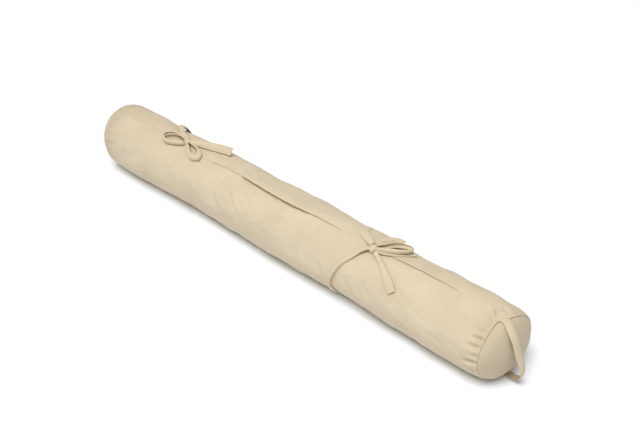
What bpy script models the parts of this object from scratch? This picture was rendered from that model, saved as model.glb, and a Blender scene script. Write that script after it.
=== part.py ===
"""Draught excluder: a long filled tube of canvas that lies along the foot of a door.

The cover is one rolled piece of cloth whose edge laps over itself along the top. Round panels close
its ends, two ties are bowed over the opening, and a strap across one end makes a carrying loop.
X runs along the tube with the loop at +X, the viewer's side is -Y, and the floor is z = 0.
"""
import bpy
import bmesh
import math
from collections import namedtuple
from mathutils import Matrix, Vector

# Driving dimensions, in metres
LENGTH = 0.900               # crown to crown of the end panels
RADIUS = 0.0587              # of the filled tube
AXIS_HEIGHT = 0.93 * RADIUS  # the filling spreads, so the tube rests on a flat strip
TIE_WIDTH = 0.015
TIE_THICKNESS = 0.0014       # a strip folded in four and stitched
PANEL_THICKNESS = 0.0012
GAP = 0.0003                 # between pieces that touch
END_SKEW = 0.16              # how far the end panels turn away from the -Y side
TIE_GROOVE = 0.0038          # room under the tube for the tie that passes below it

# Fineness of the cloth grids
COLUMNS_AROUND = 42
BODY_SPACING = 0.0165
STATIONS_PER_ROW = 4
PANEL_COLUMNS = 30

MM = 0.001
COLLECTION = "draught_excluder"

EndRow = namedtuple("EndRow", "name back share")
END_ROWS = (                 # back: mm in from the end's crown; share: part of the tube's radius
    EndRow("full", 62.0, 1.00),
    EndRow("swell", 48.0, 0.993),
    EndRow("turn", 34.0, 0.965),
    EndRow("gather", 25.0, 0.93),
    EndRow("shoulder", 17.0, 0.885),
    EndRow("seam", 11.5, 0.83),
    EndRow("tuck", 13.1, 0.808),
    EndRow("rim", 9.2, 0.70),
    EndRow("dome", 5.1, 0.50),
    EndRow("crown", 3.0, 0.26),
    EndRow("pole", 2.3, 0.04),
)
PANEL_ROWS = (
    EndRow("edge", 11.0, 0.785),
    EndRow("rim", 7.0, 0.69),
    EndRow("dome", 3.2, 0.50),
    EndRow("crown", 1.2, 0.26),
    EndRow("pole", 0.7, 0.0),
)

Section = namedtuple("Section", "x far near")
SECTIONS = (                 # mm along the tube; how far its far top and near bottom sides stand out
    Section(-450, 0.0, 0.0),
    Section(-390, 0.0, 1.5),
    Section(-340, 1.5, 2.5),
    Section(-285, -3.0, 0.5),
    Section(-230, -2.0, -1.5),
    Section(-170, 0.0, -2.5),
    Section(-90, 0.5, -1.0),
    Section(0, 1.5, 0.5),
    Section(60, 2.0, 0.0),
    Section(145, -3.0, -2.0),
    Section(210, -2.5, -2.5),
    Section(270, -2.0, -0.5),
    Section(330, 1.0, 1.0),
    Section(390, 1.0, 1.0),
    Section(450, 0.0, 0.0),
)

Lap = namedtuple("Lap", "x around step")
LAP_EDGE = (                 # mm along the tube, degrees from the top toward -Y, mm of step
    Lap(-450, 16, 0.0),
    Lap(-230, 18, 0.0),
    Lap(-177, 19, 0.5),
    Lap(-111, 14, 1.2),
    Lap(-69, 15, 2.2),
    Lap(-29, 18, 2.8),
    Lap(28, 19, 2.8),
    Lap(71, 17, 2.2),
    Lap(108, 13, 1.2),
    Lap(133, 12, 0.5),
    Lap(205, 11, 0.0),
    Lap(278, 5, 0.0),
    Lap(450, 4, 0.0),
)

Fold = namedtuple("Fold", "x around lift lean width")
TIE_X = 143                  # mm: where the right tie passes under the tube
RIGHT_TIE_WRAP = (           # x and lift in mm; around and lean in degrees; width in mm
    Fold(189.0, 18.0, 5.0, 20, 6.5),
    Fold(181.0, 24.0, 4.0, 15, 7.0),
    Fold(172.5, 38.5, 2.2, 5, 7.5),
    Fold(163.5, 56.0, 1.6, 0, 8.0),
    Fold(155.5, 80.0, 1.5, 0, 9.0),
    Fold(147.0, 106.0, 1.5, 0, 10.0),
    Fold(144.0, 130.0, 1.8, 0, 10.5),
    Fold(TIE_X, 150.0, 2.1, 0, 11.0),
    Fold(TIE_X, 180.0, 1.9, 0, 12.0),
    Fold(TIE_X, 210.0, 2.1, 0, 12.0),
    Fold(TIE_X, 232.0, 1.8, 0, 12.0),
    Fold(TIE_X, 270.0, 1.5, 0, 12.0),
    Fold(144.5, 310.0, 1.5, 0, 12.5),
    Fold(154.0, 345.0, 1.8, 0, 13.0),
    Fold(170.5, 357.5, 2.8, 0, 12.5),
    Fold(186.0, 366.0, 4.6, 0, 9.0),
)
RIGHT_LOOP_FRONT = (
    Fold(203.0, 14.2, 7.8, 82, 7.0),
    Fold(212.0, 12.0, 9.0, 84, 10.0),
    Fold(224.0, 7.5, 9.5, 84, 12.0),
    Fold(235.0, 2.0, 9.5, 84, 12.5),
    Fold(243.5, -7.0, 9.5, 84, 12.5),
    Fold(243.0, -17.0, 9.5, 84, 12.5),
    Fold(235.0, -22.5, 9.5, 84, 12.5),
    Fold(225.0, -19.5, 9.5, 84, 12.0),
    Fold(217.0, -7.0, 9.2, 84, 11.0),
    Fold(210.0, 4.5, 8.6, 82, 9.0),
    Fold(203.5, 10.0, 7.8, 82, 7.0),
)
RIGHT_LOOP_BACK = (
    Fold(195.5, 7.0, 6.0, 60, 6.5),
    Fold(196.0, -2.0, 6.5, 62, 9.0),
    Fold(199.0, -13.0, 7.0, 64, 11.0),
    Fold(204.0, -25.0, 7.0, 64, 12.0),
    Fold(211.0, -32.0, 7.0, 64, 12.0),
    Fold(216.5, -29.0, 7.0, 64, 12.0),
    Fold(213.5, -18.0, 6.8, 64, 11.0),
    Fold(206.0, -5.0, 6.5, 62, 9.0),
    Fold(200.5, 5.5, 6.0, 60, 6.5),
)
RIGHT_TAIL_FRONT = (
    Fold(202.0, 21.0, 4.2, 10, 7.0),
    Fold(209.0, 23.0, 2.6, 8, 8.5),
    Fold(222.0, 28.0, 1.6, 5, 11.0),
    Fold(237.0, 38.0, 1.8, 5, 13.5),
    Fold(250.0, 49.0, 2.6, 6, 15.0),
    Fold(259.0, 57.0, 3.4, 8, 15.0),
)
RIGHT_TAIL_BACK = (
    Fold(204.0, 15.0, 1.7, 0, 7.0),
    Fold(215.0, 9.0, 1.4, 0, 10.0),
    Fold(230.0, 0.5, 1.4, 0, 12.0),
    Fold(241.0, -9.0, 1.4, 0, 13.0),
    Fold(250.0, -20.0, 1.6, 0, 14.0),
)
LEFT_TIE_STRAP = (
    Fold(-242.5, -0.5, 4.6, 12, 7.5),
    Fold(-251.0, -5.5, 4.8, 10, 8.5),
    Fold(-262.0, -11.5, 5.6, 0, 9.0),
    Fold(-276.0, -23.0, 6.0, 0, 9.0),
    Fold(-288.0, -38.0, 4.6, 0, 10.0),
    Fold(-295.0, -58.0, 2.4, 0, 13.0),
    Fold(-298.0, -82.0, 1.9, 0, 15.0),
)
LEFT_LOOP_SIDE = (
    Fold(-242.0, 6.5, 6.4, 78, 6.5),
    Fold(-253.0, 4.0, 7.6, 78, 9.0),
    Fold(-266.0, 3.5, 8.6, 78, 11.0),
    Fold(-279.0, 6.0, 9.2, 78, 12.0),
    Fold(-286.0, 14.0, 8.8, 78, 12.0),
    Fold(-281.0, 23.0, 8.2, 78, 12.0),
    Fold(-268.0, 24.0, 7.8, 78, 11.0),
    Fold(-254.0, 19.0, 7.2, 78, 9.0),
    Fold(-242.5, 11.5, 6.4, 78, 6.5),
)
LEFT_LOOP_FRONT = (
    Fold(-229.0, 11.5, 6.0, 80, 6.0),
    Fold(-220.0, 18.0, 6.0, 80, 7.5),
    Fold(-209.0, 25.5, 6.4, 80, 9.0),
    Fold(-197.0, 29.5, 6.6, 80, 10.0),
    Fold(-187.5, 26.0, 6.6, 80, 10.0),
    Fold(-186.0, 18.0, 6.4, 80, 9.5),
    Fold(-194.0, 12.0, 6.0, 80, 8.0),
    Fold(-207.0, 9.5, 5.6, 80, 7.0),
    Fold(-219.0, 8.2, 5.4, 80, 6.0),
    Fold(-228.0, 7.2, 5.4, 80, 5.5),
)
LEFT_TAIL_LONG = (
    Fold(-228.0, 1.8, 5.4, 5, 7.5),
    Fold(-215.0, -2.5, 4.6, 5, 9.5),
    Fold(-198.0, -7.5, 3.6, 5, 11.5),
    Fold(-180.0, -13.5, 4.0, 0, 13.5),
    Fold(-166.0, -20.0, 5.4, 0, 15.0),
    Fold(-156.0, -25.0, 6.6, 0, 15.0),
)
LEFT_TAIL_SHORT = (
    Fold(-232.5, -4.5, 4.2, 10, 6.5),
    Fold(-224.0, -11.0, 3.0, 10, 8.0),
    Fold(-214.0, -17.0, 2.2, 5, 9.5),
    Fold(-204.0, -22.5, 2.0, 0, 11.0),
)

Knot = namedtuple("Knot", "name x around lift size")
KNOTS = (                    # mm and degrees; size along the tube, around it and up from it
    Knot("left_bow_knot", -235.5, 4.5, 5.6, (11.0, 10.0, 9.0)),
    Knot("right_bow_knot", 196.0, 14.0, 6.2, (12.0, 10.5, 9.5)),
)

LoopRow = namedtuple("LoopRow", "out height side")
END_LOOP = (                 # mm beyond the seam's plane, above the floor, and toward +Y
    LoopRow(-4.0, 109.4, -10.0),
    LoopRow(1.0, 107.4, -9.5),
    LoopRow(6.5, 103.6, -9.0),
    LoopRow(10.0, 97.5, -8.0),
    LoopRow(14.0, 89.0, -7.0),
    LoopRow(18.0, 79.0, -6.0),
    LoopRow(21.5, 67.0, -5.0),
    LoopRow(25.0, 52.0, -4.0),
    LoopRow(27.5, 36.0, -3.5),
    LoopRow(26.5, 21.0, -3.0),
    LoopRow(20.5, 9.5, -3.0),
    LoopRow(11.0, 4.0, -3.0),
    LoopRow(4.5, 2.4, -3.0),
    LoopRow(0.5, 1.6, -3.0),
)
LOOP_PLANE = 0.434           # where the end seam lies along the tube


def smooth(rows, column, at, key="x"):
    """Read a column of a table between its rows, easing from one row to the next."""
    if at <= getattr(rows[0], key):
        return getattr(rows[0], column)
    for low, high in zip(rows, rows[1:]):
        if at <= getattr(high, key):
            share = (at - getattr(low, key)) / (getattr(high, key) - getattr(low, key))
            share = share * share * (3.0 - 2.0 * share)
            return (1.0 - share) * getattr(low, column) + share * getattr(high, column)
    return getattr(rows[-1], column)


def bump(distance, reach):
    """A soft hill: 1 at the middle, 0 from the reach on."""
    if abs(distance) >= reach:
        return 0.0
    return 0.5 + 0.5 * math.cos(math.pi * distance / reach)


def catmull(points, steps):
    """A smooth run through lists of values, with the given number of steps between two rows."""
    run = []
    last = len(points) - 1
    for i in range(last):
        before, a, b, after = points[max(i - 1, 0)], points[i], points[i + 1], points[min(i + 2, last)]
        for step in range(steps):
            t = step / steps
            run.append([
                0.5 * (2 * q + (r - p) * t + (2 * p - 5 * q + 4 * r - s) * t * t + (3 * q - p - 3 * r + s) * t ** 3)
                for p, q, r, s in zip(before, a, b, after)
            ])
    run.append(list(points[-1]))
    return run


def tube_point(x, around, lift=0.0, share=1.0):
    """A point over the tube: x along it, degrees around from the top toward -Y, metres off the cloth."""
    angle = math.radians(around)
    far = bump((around + 45.0 + 180.0) % 360.0 - 180.0, 120.0)
    near = bump((around - 125.0 + 180.0) % 360.0 - 180.0, 100.0)
    swell = MM * (far * smooth(SECTIONS, "far", x / MM) + near * smooth(SECTIONS, "near", x / MM))
    pinch = 0.0016 * bump(x - TIE_X * MM, 0.022)
    radius = (RADIUS + swell - pinch) * share
    z = AXIS_HEIGHT + radius * math.cos(angle)
    floor = TIE_GROOVE * bump(x - TIE_X * MM, 0.030)
    y = -radius * math.sin(angle)
    if z < floor:
        z = floor
        up = Vector((0.0, 0.0, -1.0))
    else:
        up = Vector((0.0, -math.sin(angle), math.cos(angle)))
    return Vector((x, y, z)) + up * lift


def end_point(side, back, share, around, waves=0.0):
    """A point on an end: metres in from its crown, part of the radius, degrees around."""
    x = LENGTH / 2 - back
    ripple = 1.0 + waves * math.cos(math.radians(8.0 * around + 40.0))
    point = tube_point(side * x, around, 0.0, share * ripple)
    skew = END_SKEW * point.y * bump(back, 0.062)
    point.x += side * skew
    return point


def grid_mesh(name, along, across, place, rolled=False):
    """A flat grid of cloth with each vertex put in its place by its share along and across.

    A rolled cloth has its two long edges joined and its open ends filled, which makes it a solid.
    """
    bm = bmesh.new()
    bmesh.ops.create_grid(bm, x_segments=along, y_segments=across, size=0.5)
    if rolled:
        long_edges = [edge for edge in bm.edges if all(abs(vertex.co.y) > 0.499 for vertex in edge.verts)]
        bmesh.ops.bridge_loops(bm, edges=long_edges)
    for vertex in bm.verts:
        vertex.co = place(vertex.co.x + 0.5, vertex.co.y + 0.5)
    bmesh.ops.remove_doubles(bm, verts=bm.verts, dist=0.00001)
    if rolled:
        bmesh.ops.holes_fill(bm, edges=[edge for edge in bm.edges if edge.is_boundary])
        bmesh.ops.recalc_face_normals(bm, faces=bm.faces)
    mesh = bpy.data.meshes.new(name)
    bm.to_mesh(mesh)
    bm.free()
    return mesh


def add_object(name, mesh, material):
    piece = bpy.data.objects.new(name, mesh)
    bpy.data.collections[COLLECTION].objects.link(piece)
    mesh.materials.append(material)
    mesh.shade_smooth()
    mesh.set_sharp_from_angle(angle=math.radians(50))
    return piece


def make_material(name, colour, roughness):
    material = bpy.data.materials.new(name)
    material.use_nodes = True
    shader = material.node_tree.nodes["Principled BSDF"]
    shader.inputs["Base Color"].default_value = (*colour, 1.0)
    shader.inputs["Roughness"].default_value = roughness
    shader.inputs["Metallic"].default_value = 0.0
    return material


def body_step(x):
    """The rings stand closer together where the right tie draws the tube in."""
    return BODY_SPACING * (1.0 - 0.62 * bump(x - TIE_X * MM, 0.050))


def cover_rings():
    """The rings of the cover from -X to +X, as (side, back from the crown, share, wave height)."""
    waves = {"swell": 0.004, "turn": 0.012, "gather": 0.020, "shoulder": 0.014}
    ends = [(row.back * MM, row.share, waves.get(row.name, 0.0)) for row in END_ROWS]
    inner = LENGTH / 2 - ends[0][0]
    rings = [(-1, back, share, wave) for back, share, wave in reversed(ends)]
    x = body_step(-inner) - inner
    while x < inner - BODY_SPACING / 2:
        rings.append((-1, LENGTH / 2 + x, 1.0, 0.0))
        x += body_step(x)
    rings += [(1, back, share, wave) for back, share, wave in ends]
    return rings


def make_cover(material):
    """One cloth rolled around the filling: its last column stands a step above its first, as a lap."""
    rings = cover_rings()
    half_edge = 0.5

    def place(along, across):
        side, back, share, wave = rings[round(along * (len(rings) - 1))]
        x = side * (LENGTH / 2 - back)
        edge = smooth(LAP_EDGE, "around", x / MM)
        around = edge + half_edge + across * (360.0 - 2.0 * half_edge)
        step = MM * smooth(LAP_EDGE, "step", x / MM)
        point = end_point(side, back, share, around, wave)
        if back < END_ROWS[0].back * MM:
            return point
        over = bump((1.0 - across) * 360.0, 40.0)
        return tube_point(x, around, step * over)

    mesh = grid_mesh("cover", len(rings) - 1, COLUMNS_AROUND, place, rolled=True)
    return add_object("cover", mesh, material)


def make_panel(name, side, material):
    """A thin round panel, domed over the filling and let into the seam."""
    rows = catmull([(row.back, row.share) for row in PANEL_ROWS], 1)

    def place(along, across):
        back, share = rows[round(along * (len(rows) - 1))]
        return end_point(side, back * MM, share, across * 360.0)

    mesh = grid_mesh(name, len(rows) - 1, PANEL_COLUMNS, place)
    panel = add_object(name, mesh, material)
    thicken(panel, PANEL_THICKNESS)
    return panel


def thicken(piece, thickness):
    solid = piece.modifiers.new("Cloth thickness", "SOLIDIFY")
    solid.thickness = thickness
    solid.offset = 0.0


def strip(name, middles, normals, widths, material, thickness=TIE_THICKNESS):
    """A strip of cloth along a run of points, its faces square to the normals."""
    edges = []
    last = len(middles) - 1
    for i, (middle, normal, width) in enumerate(zip(middles, normals, widths)):
        forward = (middles[min(i + 1, last)] - middles[max(i - 1, 0)]).normalized()
        across = forward.cross(normal).normalized() * (width / 2)
        edges.append((middle - across, middle + across))

    def place(along, across):
        left, right = edges[round(along * last)]
        return left.lerp(right, across)

    piece = add_object(name, grid_mesh(name, last, 1, place), material)
    thicken(piece, thickness)
    return piece


def make_fold(name, rows, material):
    """A tie's strip over the tube, from its table of folds."""
    run = catmull([tuple(row) for row in rows], STATIONS_PER_ROW)
    middles = [tube_point(x * MM, around, lift * MM) for x, around, lift, lean, width in run]
    normals = []
    last = len(run) - 1
    for i, (x, around, lift, lean, width) in enumerate(run):
        up = (tube_point(x * MM, around, 0.010) - tube_point(x * MM, around)).normalized()
        forward = (middles[min(i + 1, last)] - middles[max(i - 1, 0)]).normalized()
        normals.append(Matrix.Rotation(math.radians(lean), 3, forward) @ up)
    return strip(name, middles, normals, [row[4] * MM for row in run], material)


def make_knot(knot, material):
    """A small cushion-shaped knot, square to the tube."""
    bm = bmesh.new()
    bmesh.ops.create_cube(bm, size=1.0)
    mesh = bpy.data.meshes.new(knot.name)
    angle = math.radians(knot.around)
    place = Matrix.Translation(tube_point(knot.x * MM, knot.around, knot.lift * MM))
    turn = Matrix.Rotation(angle, 4, "X")
    size = Matrix.Diagonal((*[1.3 * part * MM for part in knot.size], 1.0))
    bm.transform(place @ turn @ size)
    bm.to_mesh(mesh)
    bm.free()
    piece = add_object(knot.name, mesh, material)
    soft = piece.modifiers.new("Soft", "SUBSURF")
    soft.levels = 2
    soft.render_levels = 2
    return piece


def make_end_loop(material):
    """The strap sewn into the end seam above and below, slack enough for a hand."""
    run = catmull([tuple(row) for row in END_LOOP], STATIONS_PER_ROW)
    middles = [Vector((LOOP_PLANE + out * MM, side * MM, height * MM)) for out, height, side in run]
    last = len(middles) - 1
    normals = []
    for i in range(last + 1):
        forward = (middles[min(i + 1, last)] - middles[max(i - 1, 0)]).normalized()
        normals.append(forward.cross(Vector((0.0, 1.0, 0.0))))
    return strip("end_loop", middles, normals, [TIE_WIDTH] * (last + 1), material)


def settle(pieces):
    """Move every piece together so that the middle of the box's base is the origin."""
    bpy.context.view_layer.update()
    graph = bpy.context.evaluated_depsgraph_get()
    corners = [piece.evaluated_get(graph).matrix_world @ vertex.co
               for piece in pieces for vertex in piece.evaluated_get(graph).data.vertices]
    low = Vector([min(corner[axis] for corner in corners) for axis in range(3)])
    high = Vector([max(corner[axis] for corner in corners) for axis in range(3)])
    shift = Vector(((low.x + high.x) / 2, (low.y + high.y) / 2, low.z))
    for piece in pieces:
        piece.location = -shift
    print("size", [round(value, 4) for value in high - low], "shift", [round(value, 5) for value in shift])


def main():
    for item in list(bpy.data.objects):
        bpy.data.objects.remove(item)
    bpy.context.scene.collection.children.link(bpy.data.collections.new(COLLECTION))
    canvas = make_material("canvas", (0.72, 0.60, 0.44), 0.9)
    tape = make_material("tape", (0.70, 0.58, 0.42), 0.9)
    pieces = [
        make_cover(canvas),
        make_panel("end_panel_left", -1, canvas),
        make_panel("end_panel_right", 1, canvas),
        make_end_loop(tape),
        make_fold("right_tie_wrap", RIGHT_TIE_WRAP, tape),
        make_fold("right_loop_front", RIGHT_LOOP_FRONT, tape),
        make_fold("right_loop_back", RIGHT_LOOP_BACK, tape),
        make_fold("right_tail_front", RIGHT_TAIL_FRONT, tape),
        make_fold("right_tail_back", RIGHT_TAIL_BACK, tape),
        make_fold("left_tie_strap", LEFT_TIE_STRAP, tape),
        make_fold("left_loop_side", LEFT_LOOP_SIDE, tape),
        make_fold("left_loop_front", LEFT_LOOP_FRONT, tape),
        make_fold("left_tail_long", LEFT_TAIL_LONG, tape),
        make_fold("left_tail_short", LEFT_TAIL_SHORT, tape),
    ]
    pieces += [make_knot(knot, tape) for knot in KNOTS]
    settle(pieces)


main()
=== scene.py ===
# %% [markdown]
# # A draught excluder, piece by piece
#
# A draught excluder is a long stuffed tube that lies along the foot of a door. This one is plain beige
# cotton canvas. One piece of cloth is rolled round the filling and laps over itself along the top, a
# round panel closes each end, two ties are bowed over the lap, and a strap across one end carries it.
#
# The construction model is loaded first. It fixes where everything is, and the lesson then dresses it.

# %% The frame
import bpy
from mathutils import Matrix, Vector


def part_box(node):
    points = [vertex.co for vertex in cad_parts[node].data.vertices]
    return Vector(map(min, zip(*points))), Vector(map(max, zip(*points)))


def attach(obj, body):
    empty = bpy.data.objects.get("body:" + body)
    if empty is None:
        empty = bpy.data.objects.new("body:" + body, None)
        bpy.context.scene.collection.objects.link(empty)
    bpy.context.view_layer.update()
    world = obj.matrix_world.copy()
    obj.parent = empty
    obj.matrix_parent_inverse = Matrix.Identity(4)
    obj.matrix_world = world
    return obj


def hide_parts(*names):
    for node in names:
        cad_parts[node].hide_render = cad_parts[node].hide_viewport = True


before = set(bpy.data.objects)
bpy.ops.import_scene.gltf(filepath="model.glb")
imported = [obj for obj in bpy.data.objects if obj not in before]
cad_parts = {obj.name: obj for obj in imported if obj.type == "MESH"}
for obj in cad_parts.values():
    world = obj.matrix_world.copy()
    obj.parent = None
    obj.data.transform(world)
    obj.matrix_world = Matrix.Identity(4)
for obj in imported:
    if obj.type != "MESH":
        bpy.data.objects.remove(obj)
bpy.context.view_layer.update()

# %% [markdown]
# ## Where the tube lies
#
# Every later size hangs on the tube's own middle, length and radius. A place on the tube is told as a
# tape measure would tell it: x millimetres along from the middle, and so many degrees round from the
# top toward the viewer's side, -Y.

# %% Sizes of the tube
import math
import random
from collections import namedtuple

import bmesh
import bpy
from mathutils import Matrix, Vector, noise
from mathutils.bvhtree import BVHTree
from mathutils.kdtree import KDTree

MM = 0.001
cover_low, cover_high = (Vector(corner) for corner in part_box("cover"))
LENGTH = 0.900
RADIUS = 0.0587
AXIS = Vector(((cover_low.x + cover_high.x) / 2, 0.0002, 0.93 * RADIUS))
END_ZONE = 62 * MM
END_SKEW = 0.16
TIE_X = 143 * MM
TIE_WIDTH = 15 * MM
TIE_THICKNESS = 1.3 * MM
TIE_GROOVE = 3.8 * MM
print("cover", round(cover_high.x - cover_low.x, 4), "m long, axis at", [round(value, 4) for value in AXIS])


# %% Helpers for reading tables
def bump(distance, reach):
    """A soft hill: 1 at the middle, 0 from the reach on."""
    if abs(distance) >= reach:
        return 0.0
    return 0.5 + 0.5 * math.cos(math.pi * distance / reach)


def table(kind, *rows):
    """Rows of plain numbers as rows with named columns."""
    return tuple(kind(*row) for row in rows)


def between(rows, column, at, key="x", eased=True):
    """Read a column of a table between its rows, easing from one row to the next."""
    if at <= getattr(rows[0], key):
        return getattr(rows[0], column)
    for low, high in zip(rows, rows[1:]):
        if at <= getattr(high, key):
            share = (at - getattr(low, key)) / (getattr(high, key) - getattr(low, key))
            if eased:
                share = share * share * (3.0 - 2.0 * share)
            return (1.0 - share) * getattr(low, column) + share * getattr(high, column)
    return getattr(rows[-1], column)


def catmull(points, steps):
    """A smooth run through lists of values, with the given number of steps between two rows."""
    run = []
    last = len(points) - 1
    for i in range(last):
        before, a, b, after = points[max(i - 1, 0)], points[i], points[i + 1], points[min(i + 2, last)]
        for step in range(steps):
            t = step / steps
            run.append([
                0.5 * (2 * q + (r - p) * t + (2 * p - 5 * q + 4 * r - s) * t * t
                       + (3 * q - p - 3 * r + s) * t ** 3)
                for p, q, r, s in zip(before, a, b, after)
            ])
    run.append(list(points[-1]))
    return run


def heading_at(points, i):
    """The direction a line of points runs in at one of them."""
    return (points[min(i + 1, len(points) - 1)] - points[max(i - 1, 0)]).normalized()


def wrap_degrees(angle):
    """The same angle between -180 and 180."""
    return (angle + 180.0) % 360.0 - 180.0


# %% [markdown]
# ## The camera
#
# The tube is seen from above its right end, with a long lens, so its sides stay almost parallel. The
# camera is placed by the direction it looks from, its distance and the point it looks at.

# %% Camera
VIEW_AZIMUTH = math.radians(42.36)
VIEW_ELEVATION = math.radians(37.0)
VIEW_DISTANCE = 1.692
LOOK_AT = Vector((AXIS.x - 0.0164, 0.0976, 0.0))

view_back = Vector((
    math.sin(VIEW_AZIMUTH) * math.cos(VIEW_ELEVATION),
    -math.cos(VIEW_AZIMUTH) * math.cos(VIEW_ELEVATION),
    math.sin(VIEW_ELEVATION),
))
bpy.ops.object.camera_add(location=LOOK_AT + view_back * VIEW_DISTANCE)
camera = bpy.context.object
camera.rotation_euler = view_back.to_track_quat("Z", "Y").to_euler()
camera.data.lens = 54.0
camera.data.sensor_width = 36.0
bpy.context.scene.camera = camera
print("camera at", [round(value, 3) for value in camera.location])

# %% [markdown]
# ## Woven cotton
#
# Canvas is a plain weave: each thread goes over one crossing thread and under the next. Two rows of
# rounded threads, swapped square by square, give that height. Cotton yarn is uneven too, with thicker
# runs along both directions, so long streaks in warp and weft tint the colour a little. Both read the
# cloth's own flat coordinates in metres, which is why threads turn with the cloth where it is gathered.
# One shader group makes the effect, and each material gives it its own thread count.


# %% Helpers for shader groups
def new_group(name, inputs, outputs):
    """A shader group with named inputs (label, kind, value) and outputs (label, kind)."""
    group = bpy.data.node_groups.new(name, "ShaderNodeTree")
    for label, kind, value in inputs:
        socket = group.interface.new_socket(name=label, in_out="INPUT", socket_type=kind)
        if value is not None:
            socket.default_value = value
    for label, kind in outputs:
        group.interface.new_socket(name=label, in_out="OUTPUT", socket_type=kind)
    return group


def link_math(tree, operation, *values):
    """Add a Math node whose inputs are sockets or numbers, and return its output."""
    node = tree.nodes.new("ShaderNodeMath")
    node.operation = operation
    for slot, value in enumerate(values):
        if isinstance(value, (int, float)):
            node.inputs[slot].default_value = value
        else:
            tree.links.new(value, node.inputs[slot])
    return node.outputs[0]


def streaks(tree, vector, stretch, scale, detail):
    """Noise drawn out along one direction of the cloth."""
    mapping = tree.nodes.new("ShaderNodeMapping")
    mapping.inputs["Scale"].default_value = stretch
    tree.links.new(vector, mapping.inputs["Vector"])
    texture = tree.nodes.new("ShaderNodeTexNoise")
    texture.inputs["Scale"].default_value = scale
    texture.inputs["Detail"].default_value = detail
    tree.links.new(mapping.outputs["Vector"], texture.inputs["Vector"])
    return texture.outputs["Fac"]


# %% The weave
def build_weave_group():
    group = new_group(
        "plain_weave",
        [("Cloth", "NodeSocketVector", None), ("Threads per metre", "NodeSocketFloat", 1200.0)],
        [("Height", "NodeSocketFloat"), ("Tone", "NodeSocketFloat")],
    )
    enter = group.nodes.new("NodeGroupInput")
    leave = group.nodes.new("NodeGroupOutput")
    split = group.nodes.new("ShaderNodeSeparateXYZ")
    group.links.new(enter.outputs["Cloth"], split.inputs[0])
    count = enter.outputs["Threads per metre"]
    warp = link_math(group, "MULTIPLY", split.outputs["X"], count)
    weft = link_math(group, "MULTIPLY", split.outputs["Y"], count)
    rounded = [
        link_math(group, "ABSOLUTE", link_math(group, "SINE", link_math(group, "MULTIPLY", yarn, math.pi)))
        for yarn in (warp, weft)
    ]
    square = link_math(group, "ADD", link_math(group, "FLOOR", warp), link_math(group, "FLOOR", weft))
    over = group.nodes.new("ShaderNodeMix")
    group.links.new(link_math(group, "PINGPONG", square, 1.0), over.inputs["Factor"])
    group.links.new(rounded[0], over.inputs["A"])
    group.links.new(rounded[1], over.inputs["B"])
    group.links.new(over.outputs["Result"], leave.inputs["Height"])
    yarns = link_math(
        group, "ADD",
        streaks(group, enter.outputs["Cloth"], (1.0, 16.0, 1.0), 50.0, 3.0),
        streaks(group, enter.outputs["Cloth"], (16.0, 1.0, 1.0), 50.0, 3.0),
    )
    patches = streaks(group, enter.outputs["Cloth"], (1.0, 1.3, 1.0), 16.0, 5.0)
    yarn_tone = link_math(group, "MULTIPLY", yarns, 0.20)
    tone = link_math(group, "ADD", yarn_tone, link_math(group, "MULTIPLY", patches, 0.60))
    group.links.new(tone, leave.inputs["Tone"])
    return group


weave = build_weave_group()
print("weave group with", len(weave.nodes), "nodes")

# %% [markdown]
# ## Lines of stitching
#
# Hems are held by a machine stitch: short dashes of thread in a shallow line. A second shader group
# draws one straight line of dashes across the flat cloth, at a chosen distance along X or Y, and puts
# out a mask for the thread and one for the dent it lies in.


# %% The stitch line
def build_stitch_group():
    group = new_group(
        "stitch_line",
        [("Across", "NodeSocketFloat", 0.0), ("Along", "NodeSocketFloat", 0.0), ("Place", "NodeSocketFloat", 0.0)],
        [("Thread", "NodeSocketFloat"), ("Dent", "NodeSocketFloat")],
    )
    enter = group.nodes.new("NodeGroupInput")
    leave = group.nodes.new("NodeGroupOutput")
    away = link_math(group, "ABSOLUTE", link_math(group, "SUBTRACT", enter.outputs["Across"], enter.outputs["Place"]))
    in_line = link_math(group, "LESS_THAN", away, 0.00035)
    turn = link_math(group, "FRACT", link_math(group, "DIVIDE", enter.outputs["Along"], 0.0029))
    dash = link_math(group, "LESS_THAN", turn, 0.72)
    group.links.new(link_math(group, "MULTIPLY", in_line, dash), leave.inputs["Thread"])
    dent = link_math(group, "MAXIMUM", 0.0, link_math(group, "SUBTRACT", 1.0, link_math(group, "DIVIDE", away, 0.0016)))
    group.links.new(dent, leave.inputs["Dent"])
    return group


stitch = build_stitch_group()
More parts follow.
